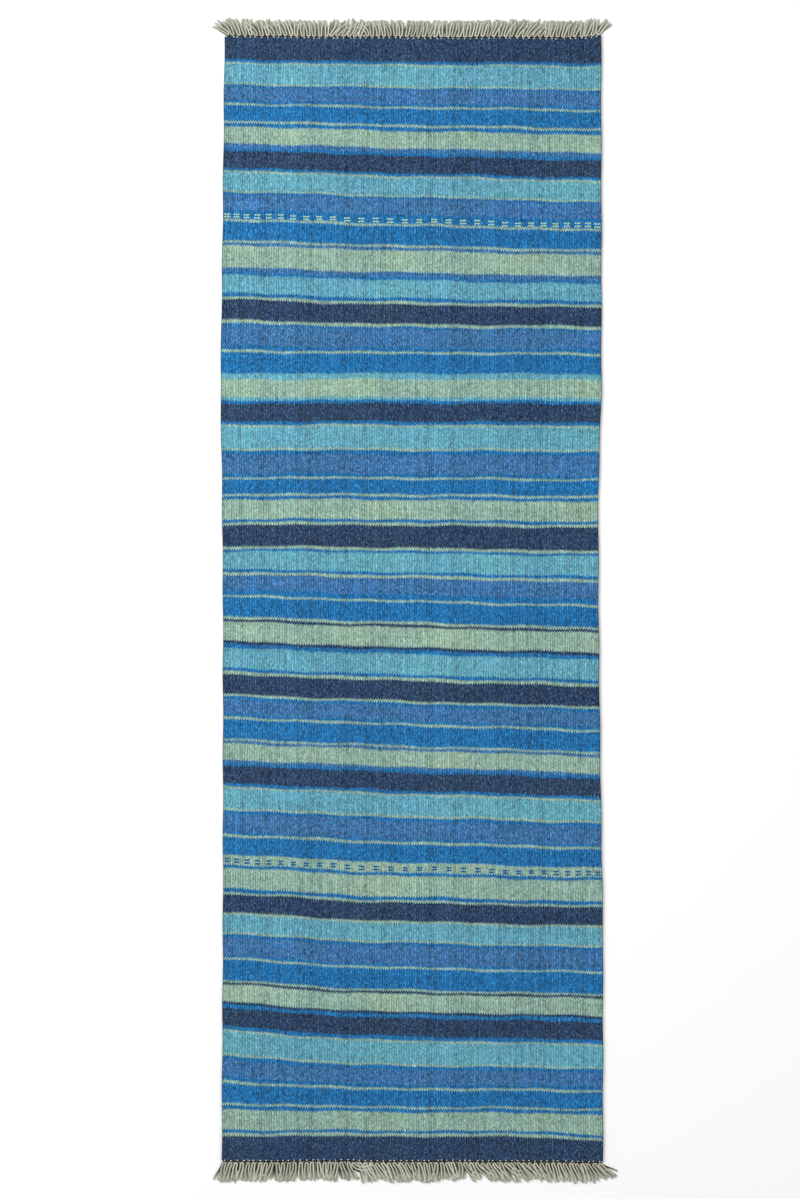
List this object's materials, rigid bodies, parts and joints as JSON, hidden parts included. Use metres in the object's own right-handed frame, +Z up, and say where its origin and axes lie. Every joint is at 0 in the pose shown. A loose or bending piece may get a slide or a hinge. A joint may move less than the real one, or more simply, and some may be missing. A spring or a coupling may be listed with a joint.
{
  "type": "runner rug",
  "caption": "Long narrow flat-woven floor runner with uneven cross stripes in blues and sage, rows of woven dashes and a knotted cotton fringe at each end",
  "frame": {"origin": "middle of the underside, on the floor, half way between the fringe tips", "axes": "+Z up, +Y along the rug towards the start end, X across it"},
  "size_m": [0.6164, 1.8401, 0.0043],
  "materials": {
    "navy_wool": "heathered matt navy wool, tightly packed weft ribs",
    "bright_blue_wool": "heathered matt bright blue wool, tightly packed weft ribs",
    "periwinkle_wool": "heathered matt periwinkle blue wool, tightly packed weft ribs",
    "aqua_wool": "heathered matt aqua wool, tightly packed weft ribs",
    "sage_wool": "heathered matt sage green wool, tightly packed weft ribs",
    "undyed_cotton": "undyed matt cotton cord, loosely plied"
  },
  "bodies": {
    "middle_panel": {"navy_bands_middle": "navy_wool", "bright_bands_middle": "bright_blue_wool", "periwinkle_bands_middle": "periwinkle_wool", "aqua_bands_middle": "aqua_wool", "sage_bands_middle": "sage_wool", "warps_middle": "undyed_cotton"},
    "start_panel": {"navy_bands_start": "navy_wool", "bright_bands_start": "bright_blue_wool", "periwinkle_bands_start": "periwinkle_wool", "aqua_bands_start": "aqua_wool", "sage_bands_start": "sage_wool", "sage_dashes_start": "sage_wool", "warps_start": "undyed_cotton", "end_cord_start": "undyed_cotton"},
    "end_panel": {"navy_bands_end": "navy_wool", "bright_bands_end": "bright_blue_wool", "periwinkle_bands_end": "periwinkle_wool", "aqua_bands_end": "aqua_wool", "sage_bands_end": "sage_wool", "bright_dashes_end": "bright_blue_wool", "warps_end": "undyed_cotton", "end_cord_end": "undyed_cotton"},
    "start_fringe": {"knots_start": "undyed_cotton", "strands_start": "undyed_cotton"},
    "end_fringe": {"knots_end": "undyed_cotton", "strands_end": "undyed_cotton"}
  },
  "joints": [
    {"name": "fold_start", "type": "hinge", "parent": "middle_panel", "child": "start_panel", "pos_m": [0, 0.314, 0.007], "axis": [1, 0, 0], "range_deg": [0, 180]},
    {"name": "fold_end", "type": "hinge", "parent": "middle_panel", "child": "end_panel", "pos_m": [0, -0.3055, 0.012], "axis": [-1, 0, 0], "range_deg": [0, 180]},
    {"name": "fringe_fold_start", "type": "hinge", "parent": "start_panel", "child": "start_fringe", "pos_m": [0, 0.8945, 0.0045], "axis": [1, 0, 0], "range_deg": [0, 180]},
    {"name": "fringe_fold_end", "type": "hinge", "parent": "end_panel", "child": "end_fringe", "pos_m": [0, -0.8885, 0.0045], "axis": [-1, 0, 0], "range_deg": [0, 180]}
  ]
}
